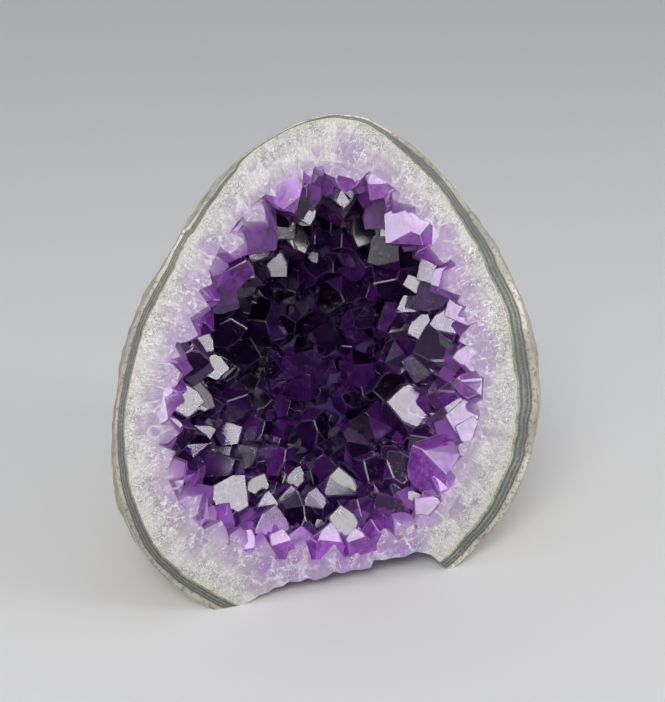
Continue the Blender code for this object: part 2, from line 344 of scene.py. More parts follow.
# The camera, where the photograph was taken from
camera = {
    "lens": 70,
    "sensor": 36,
    "eye": Vector((-150.12, -458.71, 300.31)) * mm,  # from the middle of the face's bottom edge
    "azimuth": math.radians(18),
    "elevation": math.radians(22),
}


def setCamera():
    back = Vector((
        -math.sin(camera["azimuth"]) * math.cos(camera["elevation"]),
        -math.cos(camera["azimuth"]) * math.cos(camera["elevation"]),
        math.sin(camera["elevation"]),
    ))
    right = Vector((0, 0, 1)).cross(back).normalized()
    up = back.cross(right)
    made = bpy.data.objects.new("camera", bpy.data.cameras.new("camera"))
    made.data.lens = camera["lens"]
    made.data.sensor_width = camera["sensor"]
    turned = Matrix((right, up, back)).transposed().to_4x4()
    made.matrix_world = Matrix.Translation(camera["eye"] + faceOrigin) @ turned
    bpy.context.scene.collection.objects.link(made)
    bpy.context.scene.camera = made


setCamera()
print("camera set")


# Rough outside of the half
skinLook = {
    "tan": (0.50, 0.42, 0.30, 1),
    "cream": (0.66, 0.61, 0.50, 1),
    "green": (0.20, 0.22, 0.16, 1),
    "pit": (0.10, 0.09, 0.07, 1),
    "patchScale": 38,  # how many to a metre
    "greenScale": 60,
    "grainScale": 420,
    "pitScale": 190,
    "roughness": 0.88,
    "relief": 0.9 * mm,
}


def roughSkin():
    material, shader, _, w, here = newMaterial("rough skin")
    patches = w.spread(w.noise(here, skinLook["patchScale"], 4, 0.6), 0.38, 0.62)
    grains = w.noise(here, skinLook["grainScale"], 5, 0.65)
    pits = w.spread(w.noise(here, skinLook["pitScale"], 3, 0.6, 0.4), 0.56, 0.66)
    lichen = w.spread(w.noise(here, skinLook["greenScale"], 5, 0.7), 0.52, 0.66, 0, 0.75)
    colour = w.mix(patches, skinLook["tan"], skinLook["cream"])
    colour = w.mix(lichen, colour, skinLook["green"])
    colour = w.mix(w.spread(grains, 0.35, 0.7, 0, 0.45), colour, skinLook["pit"])
    colour = w.mix(w.times(pits, 0.5), colour, skinLook["pit"])
    w.feed(shader, "Base Color", colour)
    w.feed(shader, "Roughness", skinLook["roughness"])
    height = w.math("SUBTRACT", w.times(grains, 0.6), w.times(pits, 0.7))
    w.feed(shader, "Normal", w.bump(height, skinLook["relief"], 0.8))
    return material


# Sawn and polished cut: bands of rind, sugary quartz, and the cut ends of the comb
cutLook = {
    "bands": (  # across the rind, from the skin inwards
        (0.00, (0.60, 0.54, 0.42)), (0.16, (0.72, 0.67, 0.55)), (0.29, (0.55, 0.51, 0.40)),
        (0.34, (0.012, 0.012, 0.01)), (0.41, (0.03, 0.03, 0.022)), (0.45, (0.26, 0.27, 0.21)),
        (0.50, (0.06, 0.07, 0.05)), (0.55, (0.012, 0.015, 0.01)), (0.62, (0.10, 0.115, 0.08)),
        (0.69, (0.21, 0.225, 0.165)), (0.74, (0.03, 0.04, 0.028)), (0.80, (0.012, 0.016, 0.01)),
        (0.85, (0.13, 0.15, 0.10)), (0.90, (0.44, 0.46, 0.34)), (0.95, (0.26, 0.28, 0.18)),
        (1.00, (0.74, 0.73, 0.60)),
    ),
    "columns": (  # tones of the cut columns, palest first
        (0.0, (0.79, 0.76, 0.73)), (0.25, (0.70, 0.63, 0.62)), (0.42, (0.63, 0.52, 0.57)),
        (0.6, (0.45, 0.34, 0.44)), (0.78, (0.55, 0.39, 0.59)), (1.0, (0.38, 0.20, 0.50)),
    ),
    "cream": (0.72, 0.68, 0.57, 1),  # quartz beside the rind, and further in
    "white": (0.77, 0.745, 0.73, 1),
    "gap": (0.13, 0.12, 0.11, 1),
    "grain": (0.42, 0.40, 0.36, 1),
    "streak": (0.50, 0.45, 0.48, 1),
    "fibre": (0.34, 0.26, 0.38, 1),
    "crease": (0.25, 0.20, 0.23, 1),
    "shade": (0.33, 0.25, 0.36, 1),  # beside the pale edges of the columns
    "edge": (0.84, 0.81, 0.82, 1),
    "glint": (0.88, 0.86, 0.87, 1),
    "break": (0.30, 0.11, 0.44, 1),
    "rindSpeck": (0.60, 0.60, 0.52, 1),
    "rindPit": (0.12, 0.11, 0.08, 1),
    "lilac": (0.42, 0.25, 0.52, 1),
    "violet": (0.27, 0.07, 0.41, 1),
    # painted shade: the nearly black that the quartz is given deep in the hollow
    "deep": (0.045, 0.008, 0.12, 1),
    "cellWidth": 6.5,  # mm, across and along the columns
    "cellLength": 15,
    "cellRadius": 80,  # mm from the middle, where the columns are that wide
    "chips": 2.7,  # to a column
    "scales": {  # how many to a metre
        "wave": 55, "shiver": 300, "rindSpeck": 1100, "rindPit": 700, "tide": 28, "squiggle": 430,
        "sugar": 1000, "patch": 110, "flow": 45, "wobble": 150, "broken": 170, "glint": 620,
    },
    "breakRise": (6.5 * mm, 13 * mm),  # heights between which the violet over the break comes and goes
    "breakEnd": (14 * mm, 20 * mm),
    "breakSides": (28 * mm, 40 * mm),
    "breakMiddle": 2 * mm,
    "relief": 0.15 * mm,
}


def thinLines(w, value, low, high):  # where a noise passes through its middle
    return w.spread(w.math("ABSOLUTE", w.fromMiddle(value)), low, high, 1, 0)


def roundFace(w, placed):  # across the columns, and along them from the middle of the face outwards
    u = placed["Across"]
    v = w.math("SUBTRACT", w.times(placed["Height"], 1 / math.cos(half["lean"])), half["middleV"])
    radius = w.math("SQRT", w.math("ADD", w.times(u, u), w.times(v, v)))
    spin = cutLook["cellRadius"] / cutLook["cellWidth"]
    return w.together(w.times(w.math("DIVIDE", u, radius), spin),
                      w.times(w.math("DIVIDE", v, radius), spin),
                      w.times(radius, 1 / (cutLook["cellLength"] * mm)))


def rindBands(w, here, across):
    scales = cutLook["scales"]
    bands = w.ramp(across, cutLook["bands"])
    specks = w.spread(w.noise(here, scales["rindSpeck"], 3, 0.7), 0.5, 0.62)
    bands = w.mix(w.times(specks, w.spread(across, 0.25, 0.42), 0.2), bands, cutLook["rindSpeck"])
    pits = w.spread(w.noise(here, scales["rindPit"], 3), 0.53, 0.6)
    bands = w.mix(w.times(pits, 0.6), bands, cutLook["rindPit"])
    tide = w.spread(w.noise(here, scales["tide"], 3, 0.6), 0.35, 0.65, 0.42, 1.1)
    return w.shaded(bands, tide)


def quartzMasks(w, here, polar, inRing):
    scales = cutLook["scales"]
    stretched = w.vector("MULTIPLY", polar, (2.6, 2.6, 0.35))
    drift = w.times(w.fromMiddle(w.noise(here, scales["flow"], 3, 0.6)), 0.9)
    return {
        "gaps": thinLines(w, w.noise(here, scales["squiggle"], 3, 0.6, 2.6), 0.005, 0.075),
        "sugar": w.spread(w.noise(here, scales["sugar"], 3, 0.7, 0.8), 0.5, 0.62),
        "streaks": w.noise(stretched, 1.6, 4, 0.6),
        "patchy": w.spread(w.noise(here, scales["patch"], 3, 0.6), 0.42, 0.6),
        "flow": w.math("ADD", inRing, drift),
    }


def columnEnds(w, bent, each, masks):  # each cut column in its own tone, with chips and fibres
    further = w.times(w.fromMiddle(masks["flow"], 0.62), 0.85)
    columns = w.ramp(w.math("ADD", w.times(each["Y"], 0.72), further), cutLook["columns"])
    chip = w.apart(w.cells(bent, cutLook["chips"]))["X"]
    columns = w.shaded(columns, w.spread(chip, 0, 1, 0.8, 1.2, smooth=False))
    return w.mix(w.spread(masks["streaks"], 0.42, 0.66, 0, 0.55), columns, cutLook["fibre"])


def breakMask(w, placed):  # where the ring goes violet, over the broken edge between the feet
    fromMiddle = w.math("ABSOLUTE", w.math("SUBTRACT", placed["Across"], cutLook["breakMiddle"]))
    return w.times(w.spread(placed["Height"], *cutLook["breakRise"]),
                   w.spread(fromMiddle, *cutLook["breakSides"], 1, 0),
                   w.spread(placed["Height"], *cutLook["breakEnd"], 1, 0))


def ringQuartz(w, here, placed, inRing, masks, polar):
    scales = cutLook["scales"]
    quartz = w.mix(w.spread(inRing, 0.0, 0.35), cutLook["cream"], cutLook["white"])
    quartz = w.mix(w.spread(masks["streaks"], 0.45, 0.68, 0, 0.45), quartz, cutLook["streak"])
    # cut ends of the columns
    wobble = w.add("ShaderNodeTexNoise", Vector=here, Scale=scales["wobble"], Detail=2.0)
    shift = w.vector("SUBTRACT", wobble.outputs["Color"], (0.5, 0.5, 0.5))
    bent = w.vector("ADD", polar, w.vector("MULTIPLY", shift, (0.9, 0.9, 0.5)))
    each = w.apart(w.cells(bent, 1))
    edges = w.cells(bent, 1, "Distance", "DISTANCE_TO_EDGE")
    inner = w.spread(w.math("ADD", inRing, w.times(w.fromMiddle(each["X"]), 0.9)), 0.4, 0.8)
    quartz = w.mix(w.times(inner, 0.92), quartz, columnEnds(w, bent, each, masks))
    fibres = w.noise(w.vector("MULTIPLY", bent, (4.5, 4.5, 1.6)), 1.0, 4, 0.65, 1.2)
    creases = w.times(thinLines(w, fibres, 0.0, 0.05), w.spread(inRing, 0.15, 0.5, 0.2, 0.5))
    quartz = w.mix(creases, quartz, cutLook["crease"])
    quartz = w.mix(w.times(breakMask(w, placed), 0.85), quartz, cutLook["break"])
    quartz = w.mix(w.times(w.spread(edges, 0.06, 0.2, 1, 0), inner, 0.4), quartz, cutLook["shade"])
    broken = w.spread(w.noise(here, scales["broken"], 2), 0.4, 0.6)
    outline = w.times(w.spread(edges, 0.015, 0.085, 1, 0), inner, broken)
    quartz = w.mix(w.times(outline, w.spread(masks["sugar"], 0, 1, 0.5, 0.9)), quartz, cutLook["edge"])
    # small grey gaps and glints between the grains
    gapShare = w.math("ADD", w.times(masks["patchy"], 0.5), 0.4)
    gaps = w.times(masks["gaps"], gapShare, w.spread(masks["flow"], 0.45, 1.1, 1, 0.5))
    quartz = w.mix(gaps, quartz, cutLook["gap"])
    grains = w.times(masks["sugar"], w.spread(masks["flow"], 0.4, 1.0, 0.35, 0.0))
    quartz = w.mix(grains, quartz, cutLook["grain"])
    glints = w.spread(w.noise(here, scales["glint"], 3, 0.7, 1.0), 0.53, 0.62)
    glints = w.times(glints, w.spread(masks["patchy"], 0.2, 1, 0.15, 0.7), w.spread(inRing, 0.3, 0.7))
    return w.mix(glints, quartz, cutLook["glint"])


def sawnQuartz():
    material, shader, _, w, here = newMaterial("sawn quartz")
    scales = cutLook["scales"]
    placed = onHalf(w, here)
    behind = placed["Behind"]
    polar = roundFace(w, placed)
    fromSkin, rind, ring, grown = (w.attribute(mark) for mark in ("fromSkin", "rind", "ring", "grown"))
    wave = w.times(w.fromMiddle(w.noise(here, scales["wave"], 3, 0.5)), 0.42)
    shiver = w.times(w.fromMiddle(w.noise(here, scales["shiver"], 5, 0.7)), 0.12)
    across = w.math("ADD", w.math("DIVIDE", fromSkin, rind), w.math("ADD", wave, shiver))
    inRing = w.math("DIVIDE", w.math("SUBTRACT", fromSkin, rind), w.math("SUBTRACT", ring, rind))
    masks = quartzMasks(w, here, polar, inRing)
    quartz = ringQuartz(w, here, placed, inRing, masks, polar)
    # columns that stand free in the hollow go lilac, then violet, with height and depth
    uncut = w.spread(behind, 0.2 * mm, 2.5 * mm, 0.12, 1)
    quartz = w.mix(w.times(w.spread(grown, 0.3, 7, 0, 0.8), uncut), quartz, cutLook["lilac"])
    reach = w.math("ADD", grown, w.times(behind, 300))
    quartz = w.mix(w.times(w.spread(reach, 6, 15), uncut), quartz, cutLook["violet"])
    # painted shade: deep in the hollow the quartz goes nearly black
    quartz = w.mix(w.spread(behind, 12 * mm, 40 * mm), quartz, cutLook["deep"])
    isRind = w.spread(across, 0.97, 1.03, 1, 0, smooth=False)
    w.feed(shader, "Base Color", w.mix(isRind, quartz, rindBands(w, here, across)))
    polished = w.spread(masks["gaps"], 0, 1, 0.3, 0.55)
    dull = w.spread(behind, 2 * mm, 12 * mm, 0, 0.95)
    w.feed(shader, "Roughness", w.math("MAXIMUM", polished, dull))
    w.feed(shader, "Normal", w.bump(w.times(masks["gaps"], -1), cutLook["relief"], 0.4))
    return material


# Amethyst, paler where it roots: milky beside the rim, clear deeper in
milkyLook = {
    "root": (0.62, 0.45, 0.68, 1),
    "tip": (0.40, 0.10, 0.58, 1),
    # painted shade deep in the hollow, along with a deeper violet
    "deep": (0.30, 0.06, 0.48, 1),
    "rise": (0, 12),  # mm over the wall, from root colour to tip colour
    "tones": (0.45, 1.35),  # of a crystal's single faces: painted light and shade, lighter or darker at random from face to face
    "clear": 0.4,
    "rough": 0.16,
    "absorb": (0.62, 0.25, 0.85, 1),
    "density": 50,
}
glassLook = {
    "root": (0.85, 0.70, 0.93, 1),
    "tip": (0.57, 0.20, 0.76, 1),
    # painted shade deep in the hollow, along with a deeper violet
    "deep": (0.35, 0.07, 0.52, 1),
    "rise": (1, 13),
    # painted light and shade of single faces, from nearly black to nearly twice as bright
    "tones": (0.07, 1.9),
    "clear": 0.8,
    "rough": 0.2,
    "absorb": (0.66, 0.14, 0.80, 1),
    "density": 100,
}
crystalLook = {  # what both share
    "ior": 1.54,
    # white flecks: partly the crystal's own, partly painted glints
    "fleck": (0.80, 0.74, 0.84, 1),
    # painted highlight: the pale lilac that the bevelled edges of the points are given
    "edge": (0.78, 0.56, 0.90, 1),
    "edgeRoughness": 0.25,
    "greenShare": 0.94,  # in the painted light and shade of single faces
    "scales": {"cloud": 70, "veil": 130, "fleck": 520, "fleckPatch": 75, "line": 900},
    "relief": 0.05 * mm,
}


def amethystGlass(name, look):
    material, shader, output, w, here = newMaterial(name)
    scales = crystalLook["scales"]
    behind = onHalf(w, here)["Behind"]
    grown, facet, edge = (w.attribute(mark) for mark in ("grown", "facet", "edge"))
    cloud = w.times(w.fromMiddle(w.noise(here, scales["cloud"], 3, 0.5)), 9)
    colour = w.mix(w.spread(w.math("ADD", grown, cloud), *look["rise"]), look["root"], look["tip"])
    # darker violet further behind the face: painted shade of the hollow, along with a deeper violet
    colour = w.mix(w.spread(behind, 6 * mm, 42 * mm), colour, look["deep"])
    # painted light and shade: each flat face of a point is made lighter or darker, as if it caught the
    # lamps or not
    facetLightAndShade = w.math("POWER", w.math("FRACT", w.times(facet, 7.31)), 1.7)
    facetLightAndShade = w.spread(facetLightAndShade, 0, 1, *look["tones"], smooth=False)
    shade = w.together(facetLightAndShade, w.times(facetLightAndShade, crystalLook["greenShare"]), facetLightAndShade)
    colour = w.mix(w.spread(behind, 3 * mm, 15 * mm), colour, w.mix(1.0, colour, shade, "MULTIPLY"))
    # clouds inside, with painted shade that darkens them deep in the hollow, a few white flecks that are
    # partly painted glints, and pale edges that are painted highlights
    veil = w.spread(w.noise(here, scales["veil"], 4, 0.6, 1.4), 0.32, 0.68, 0.6, 1.4)
    # painted shade: the clouds darken to half their brightness deep in the hollow
    veil = w.times(veil, w.spread(behind, 28 * mm, 75 * mm, 1, 0.5))
    colour = w.shaded(colour, veil)
    # white flecks, partly the crystal's own and partly painted glints
    flecksAndGlints = w.times(w.spread(w.noise(here, scales["fleck"], 4, 0.75, 1.2), 0.55, 0.62),
                     w.spread(w.noise(here, scales["fleckPatch"], 2), 0.5, 0.62), 0.7)
    colour = w.mix(flecksAndGlints, colour, crystalLook["fleck"])
    # painted highlight: bevel faces are painted pale lilac, less so deep in the hollow
    paintedEdgeHighlight = w.times(edge, w.spread(behind, 5 * mm, 70 * mm, 0.75, 0.15))
    w.feed(shader, "Base Color", w.mix(paintedEdgeHighlight, colour, crystalLook["edge"]))
    w.feed(shader, "Transmission Weight", look["clear"])
    w.feed(shader, "IOR", crystalLook["ior"])
    rough = w.spread(facet, 0.6, 1.0, 0.02, look["rough"])
    w.feed(shader, "Roughness", w.math("ADD", rough, w.times(edge, crystalLook["edgeRoughness"])))
    lines = w.noise(w.vector("MULTIPLY", here, (1, 1, 5)), scales["line"], 2, 0.5)
    w.feed(shader, "Normal", w.bump(lines, crystalLook["relief"], 0.25))
    inside = w.add("ShaderNodeVolumeAbsorption", Color=look["absorb"], Density=look["density"])
    w.feed(output, "Volume", inside.outputs[0])
    return material


# The sawn half: skin, rim, polished face, the wall behind the crust, sawn base and broken notch
sawnHalf = {
    "segments": 300,
    "faceInsets": (30, 23, 17, 12, 9, 7, 5.4, 4, 2.9, 2, 1.3),
    "rimEase": ((0, 0.75), (0.12, 0.3), (0.45, 0.06), (1.1, 0)),
    "skinRows": 46,
    "rowCrowding": 1.15,  # towards the face
    "rowStep": 1 * mm,  # at least
    "smallLumps": (0.4, 2.3),  # height and fineness beside the large ones
    "lumpsBackward": 0.3,
    "grainFade": (0.5 * mm, 4 * mm),  # from here, over so much
    "grainSteps": ((13 * mm, 1.0 * mm), (5.5 * mm, 0.5 * mm), (2.6 * mm, 0.22 * mm)),  # size, height
    "chipFrom": math.radians(109),  # a flake of the skin is missing from here
    "chipTo": math.radians(128.5),
    "chipDepth": 1.2 * mm,
    "chipWidth": 9 * mm,
    "rimWave": 0.35 * mm,
    "rimWaves": 14,
    # the broken edge between the feet: u and height, from left to right
    "notch": ((-40, -2), (-37, 0.8), (-34, 1.8), (-32, 2.9), (-28, 3.4), (-26, 4.6), (-22, 4.9),
              (-19, 6.2), (-15, 5.6), (-11, 6.3), (-8, 5.2), (-3, 5.9), (0, 6.9), (4, 6.1), (8, 6.6),
              (12, 5.9), (16, 6.4), (17.5, 9.2), (22, 8.6), (27, 8.9), (31, 8.2), (36, 9.7), (40, 8.6),
              (43, 7.2), (47, 3), (49, 1.2), (52, -2)),
    "notchDepth": 22 * mm,
    "notchSteps": 26,
    "notchRoughness": 0.8 * mm,
    "notchGrain": (300, 260),  # to a metre, across and backwards
    "baseLow": Vector((-0.13, -0.04, -0.06)),  # the block that saws the base off
    "baseHigh": Vector((0.14, 0.16, 0)),
    "baseGrid": 3.2 * mm,
    "skinFrom": 0.2 * mm,  # behind the face
    "outsideMost": 0.03,  # mm from the skin, past which a face is a cut one
}


def skinPoint(angle, d, inset):
    rim = around(half["rimRadius"], angle) * mm
    if sawnHalf["chipFrom"] < angle % math.tau < sawnHalf["chipTo"] and d < sawnHalf["chipWidth"]:
        rim -= sawnHalf["chipDepth"]
    direction = Vector((math.cos(angle), math.sin(angle), 0))
    rim += sawnHalf["rimWave"] * noise.noise(direction * sawnHalf["rimWaves"])
    outward = rim + around(half["skinSlope"], angle) * slopeReach(d)
    radius = outward * fallOff(d, half["depth"], half["roundness"]) - inset
    point = place(radius, angle, d, half["depth"])
    share, fineness = sawnHalf["smallLumps"]
    lump = noise.noise(point / half["lumpSize"])
    lump += share * noise.noise(point / half["lumpSize"] * fineness)
    outwards = Vector((math.cos(angle), sawnHalf["lumpsBackward"], math.sin(angle))).normalized()
    fine = sum(height * noise.noise(point / size) for size, height in sawnHalf["grainSteps"])
    fade = min(1, max(0, d) / half["lumpFade"])
    fadeFrom, fadeOver = sawnHalf["grainFade"]
    fineFade = min(1, max(0, d - fadeFrom) / fadeOver)
    return point + outwards * (lump * half["lumpHeight"] * fade + fine * fineFade)


def hollowEgg(inset, front, toeHeight=0.0, segments=0):
    def wall(angle, d):
        thicker = inset + toe(angle) * toeHeight * fallOff(d, hollow["depth"], 1)
        forward = d * (1 - inset / hollow["depth"])
        return place(hollowRadius(angle, d) - thicker, angle, forward, hollow["depth"])

    stations = [lambda angle: wall(angle, 0) - Vector((0, front, 0))] if front else []
    stations += [lambda angle, d=d * mm: wall(angle, d) for d in hollow["stations"]]
    middle = place(0, 0, 0, hollow["depth"]) - Vector((0, front, 0))
    back = place(0, 0, hollow["depth"] - inset, hollow["depth"])
    return egg(stations, middle, back, segments or hollow["segments"])


def toe(angle):  # the crust is thicker towards the base, where its broken edge shows
    away = abs((angle - math.radians(270) + math.pi) % math.tau - math.pi)
    share = away / hollow["toeSpread"]
    return math.cos(share * math.pi / 2) ** 2 if share < 1 else 0


def griddedBlock(name, low, high, step):  # a block whose faces are divided into squares
    bm = bmesh.new()
    bmesh.ops.create_cube(bm, size=1)
    bmesh.ops.scale(bm, vec=high - low, verts=bm.verts)
    bmesh.ops.translate(bm, vec=(low + high) / 2, verts=bm.verts)
    for axis in range(3):
        normal = Vector((axis == 0, axis == 1, axis == 2))
        for index in range(1, int((high - low)[axis] / step)):
            everything = bm.verts[:] + bm.edges[:] + bm.faces[:]
            onPlane = low + normal * index * step
            bmesh.ops.bisect_plane(bm, geom=everything, plane_co=onPlane, plane_no=normal)
    return asObject(name, bm)


def notchCutter():
    outline = [Vector((u, 0, height)) * mm for u, height in sawnHalf["notch"]]
    below = -8 * mm
    outline += [Vector((outline[-1].x, 0, below)), Vector((outline[0].x, 0, below))]
    bm = bmesh.new()
    front = -20 * mm
    steps = sawnHalf["notchSteps"]
    across, deep = sawnHalf["notchGrain"]
    rows = []
    for index in range(steps + 1):
        y = front + (sawnHalf["notchDepth"] - front) * index / steps
        row = []
        for point in outline:
            bite = sawnHalf["notchRoughness"] * noise.noise(Vector((point.x * across, y * deep, 3)))
            row.append(bm.verts.new(point + Vector((0, y, bite))))
        rows.append(row)
    count = len(outline)
    for row, after in zip(rows, rows[1:]):
        for index in range(count):
            bm.faces.new((row[index], after[index], after[(index + 1) % count], row[(index + 1) % count]))
    bm.faces.new(rows[0])
    bm.faces.new(rows[-1][::-1])
    bmesh.ops.triangulate(bm, faces=bm.faces)
    bmesh.ops.recalc_face_normals(bm, faces=bm.faces)
    return asObject("notch", bm)


def depthOf(point):  # how far behind the cut face, in the half's own frame
    return point.y - point.z * math.tan(half["lean"])


# At each vertex, in millimetres: how far it is from the skin, how wide the rind and the ring are at
# its angle, and how far it has grown out from the wall of the hollow
def markPlaces(mesh, skin, bowl):
    names = ("fromSkin", "rind", "ring", "grown")
    values = {name: np.zeros(len(mesh.vertices), np.float32) for name in names}
    for vert in mesh.vertices:
        v = vert.co.z / math.cos(half["lean"])
        angle = math.atan2(v - half["middleV"], vert.co.x)
        values["fromSkin"][vert.index] = skin.find_nearest(vert.co)[3] / mm
        values["rind"][vert.index] = around(half["rindWidth"], angle)
        values["ring"][vert.index] = around(half["ringWidth"], angle)
        onWall, normal, _, distance = bowl.find_nearest(vert.co)
        values["grown"][vert.index] = math.copysign(distance / mm, (onWall - vert.co).dot(normal))
    for name, row in values.items():
        mesh.attributes.new(name, "FLOAT", "POINT").data.foreach_set("value", row)


facetMix = {
    "fineness": 12,  # of the normals
    "planeStep": 1.5 * mm,
    "weights": (12.9898, 78.233, 37.719, 4.581),
    "spread": 43758.5453,
}


def markFacets(mesh):  # one number for each flat face of a crystal, from the plane that it lies in
    facets = np.empty(len(mesh.polygons), np.float32)
    for face in mesh.polygons:
        plane = [round(part * facetMix["fineness"]) for part in face.normal]
        plane.append(round(face.normal.dot(face.center) / facetMix["planeStep"]))
        mixed = sum(part * weight for part, weight in zip(plane, facetMix["weights"]))
        facets[face.index] = math.sin(mixed) * facetMix["spread"] % 1
    mesh.attributes.new("facet", "FLOAT", "FACE").data.foreach_set("value", facets)


def makeStone(skinFinish, cutFinish):
    insets = sawnHalf["faceInsets"]
    stations = [lambda angle, inset=inset * mm: skinPoint(angle, 0, inset) for inset in insets]
    ease = sawnHalf["rimEase"]
    stations += [lambda angle, d=d * mm, inset=i * mm: skinPoint(angle, d, inset) for d, i in ease]
    rows = sawnHalf["skinRows"]
    for row in range(1, rows):
        d = half["depth"] * math.sin(row / rows * math.pi / 2) ** sawnHalf["rowCrowding"]
        least = ease[-1][0] * mm + row * sawnHalf["rowStep"]
        stations.append(lambda angle, d=max(d, least): skinPoint(angle, d, 0))
    front = place(0, 0, 0, half["depth"])
    back = place(0, 0, half["depth"], half["depth"])
    stone = asObject("sawn_stone", egg(stations, front, back, sawnHalf["segments"]))
    skinFaces = [tuple(f.vertices) for f in stone.data.polygons
                 if max(depthOf(stone.data.vertices[v].co) for v in f.vertices) > sawnHalf["skinFrom"]]
    skin = BVHTree.FromPolygons([v.co for v in stone.data.vertices], skinFaces)
    bowl = asObject("bowl", hollowEgg(0, hollow["mouth"], segments=hollow["fineSegments"]))
    below = griddedBlock("below", sawnHalf["baseLow"], sawnHalf["baseHigh"], sawnHalf["baseGrid"])
    notch = notchCutter()
    for cutter in (bowl, below, notch):
        cut(stone, cutter)
    bowlFaces = [tuple(f.vertices) for f in bowl.data.polygons]
    bowlTree = BVHTree.FromPolygons([v.co for v in bowl.data.vertices], bowlFaces)
    forget(bowl, below, notch)
    markPlaces(cleaned(stone.data), skin, bowlTree)
    finishWith(stone.data, skinFinish, cutFinish)
    fromSkin = stone.data.attributes["fromSkin"].data
    for face in stone.data.polygons:
        outside = max(fromSkin[v].value for v in face.vertices) < sawnHalf["outsideMost"]
        face.material_index = 0 if outside else 1
        face.use_smooth = outside
    return stone, skin, bowlTree


cutQuartz = sawnQuartz()
stone, skinTree, bowlTree = makeStone(roughSkin(), cutQuartz)
print("sawn_stone", len(stone.data.polygons), "faces")

# Soft boxes round the half: name, place, size, radiance, and whether it lights more than reflections.
# They stand before the points because some points are turned to mirror one
lamps = (
    ("key", (-0.55, -1.0, 1.0), 0.6, 7.5, True),
    ("fill", (1.0, -0.7, 0.7), 0.5, 3.5, True),
    ("top", (0.1, -0.3, 1.5), 0.8, 9.5, False),
    ("left", (-1.2, -0.6, 0.5), 0.6, 9.5, False),
    ("right", (1.1, -0.9, 0.35), 0.5, 9.5, False),
    ("high", (0.25, -1.1, 0.95), 0.5, 10, False),
    ("near", (-0.15, -1.35, 0.6), 0.45, 10, False),
    ("eye", (-0.75, -1.15, 0.5), 0.4, 10, False),
    ("low", (0.5, -1.2, 0.2), 0.36, 9.5, False),
    ("lowLeft", (-0.6, -1.15, 0.15), 0.3, 9.5, False),
    ("lowMiddle", (0.05, -1.3, 0.12), 0.3, 9.5, False),
    ("highRight", (0.75, -0.95, 1.05), 0.45, 9.5, False),
)

# The points that line the hollow
points = {
    "seed": 41,
    "layer": 5 * mm,  # between the hollow's wall and the roots
    "toeHeight": 11 * mm,  # how much thicker it is at the base
    "endTilt": math.radians(38.2),  # between a point's end faces and its axis
    "tiltMost": math.radians(16),
    "girth": 1.25,  # how much wider the large points are than their seen ends
    "flashReach": math.radians(26),
    "flashShare": 0.35,
    "stubHeight": 0.5,  # in radii
    "leastRoot": 4 * mm,  # over the floor, for all but the large points
    "sightStep": 0.5 * mm,
    "sightReach": 152 * mm,
    "leastSet": 0.75,  # how far behind the face the nearest tips start, in radii
    "glassDepth": 15 * mm,  # points rooted behind this are clear, the others milky
    "shapes": 14,  # different points that the rest are copies of, each of radius 1
    "blockWidth": 4,
    "bodyLength": 2.7,
    "sideOut": (0.84, 1.1),  # of the six sides, from the axis
    "largeEndOut": (0, 0.06),  # of three end faces, from the tip, and then of the other three
    "smallEndOut": (0.1, 0.42),
    "bevel": 0.05,
    "bevelledTo": 0.9,  # of the body length
    "flashing": (2, 17, 22, 21, 24, 26, 25, 27, 29, 30, 31, 32, 33, 34, 35, 42, 43, 44, 46, 53, 54,
                 58, 59, 60, 10, 4, 67, 37, 19, 52),
    # u and v on the face where the tip is seen, its radius, and its height over the wall
    "large": (
        (-15, 141, 11.5, 21), (-3, 152, 8, 15), (-24, 131, 9, 16), (-47, 127, 7.5, 13), (-44, 136, 5, 9),
        (2, 166, 8, 13), (15, 172, 7, 11), (4, 177, 5.5, 8), (-6, 179, 5.5, 7), (17, 163, 6, 12),
        (-8, 124, 8.5, 15), (2, 128, 6.5, 12), (8, 146, 7, 12), (27, 166, 4.5, 8), (25, 157, 8, 14),
        (37, 156, 7, 11), (46, 151, 5.5, 9), (31, 140, 10, 18), (44, 133, 10, 17), (54, 141, 5, 8),
        (61, 121, 7.5, 12), (49, 121, 6.5, 12), (54, 108, 10.5, 19), (65, 104, 6, 9), (21, 119, 6, 12),
        (34, 113, 6, 12), (15, 108, 9, 17), (-12, 108, 6, 11), (-5, 90, 9.5, 18), (-37, 97, 6.5, 12),
        (-25, 91, 6, 11), (-13, 81, 6, 12), (8, 80, 6.5, 13), (-40, 83, 6.5, 12), (-24, 74, 7.5, 14),
        (-34, 73, 6.5, 12), (-47, 70, 7, 12), (-57, 77, 7, 10), (-54, 91, 7.5, 11), (-59, 103, 6.5, 8),
        (-49, 112, 6, 10), (-35, 53, 9.5, 18), (-26, 53, 6, 12), (5, 51, 9, 17), (5, 35, 8, 15),
        (-10, 38, 7, 13), (-20, 29, 6.5, 12), (-50, 47, 6.5, 11), (-58, 38, 10, 17), (-66, 63, 7, 9),
        (40, 95, 10, 18), (25, 94, 8, 15), (27, 75, 12, 22), (38, 78, 6, 12), (52, 70, 6.5, 11),
        (57, 61, 7, 11), (57, 49, 8.5, 13), (36, 54, 10.5, 19), (24, 57, 5.5, 11), (45, 41, 8, 14),
        (37, 33, 7.5, 14), (20, 37, 7, 13), (18, 27, 6, 11), (58, 35, 8.5, 12), (51, 21, 10, 14),
        (56, 80, 6.5, 10), (-14, 46, 7, 13), (-66, 54, 6.5, 8), (-35, 31, 7, 13), (14, 91, 7, 13),
    ),
}
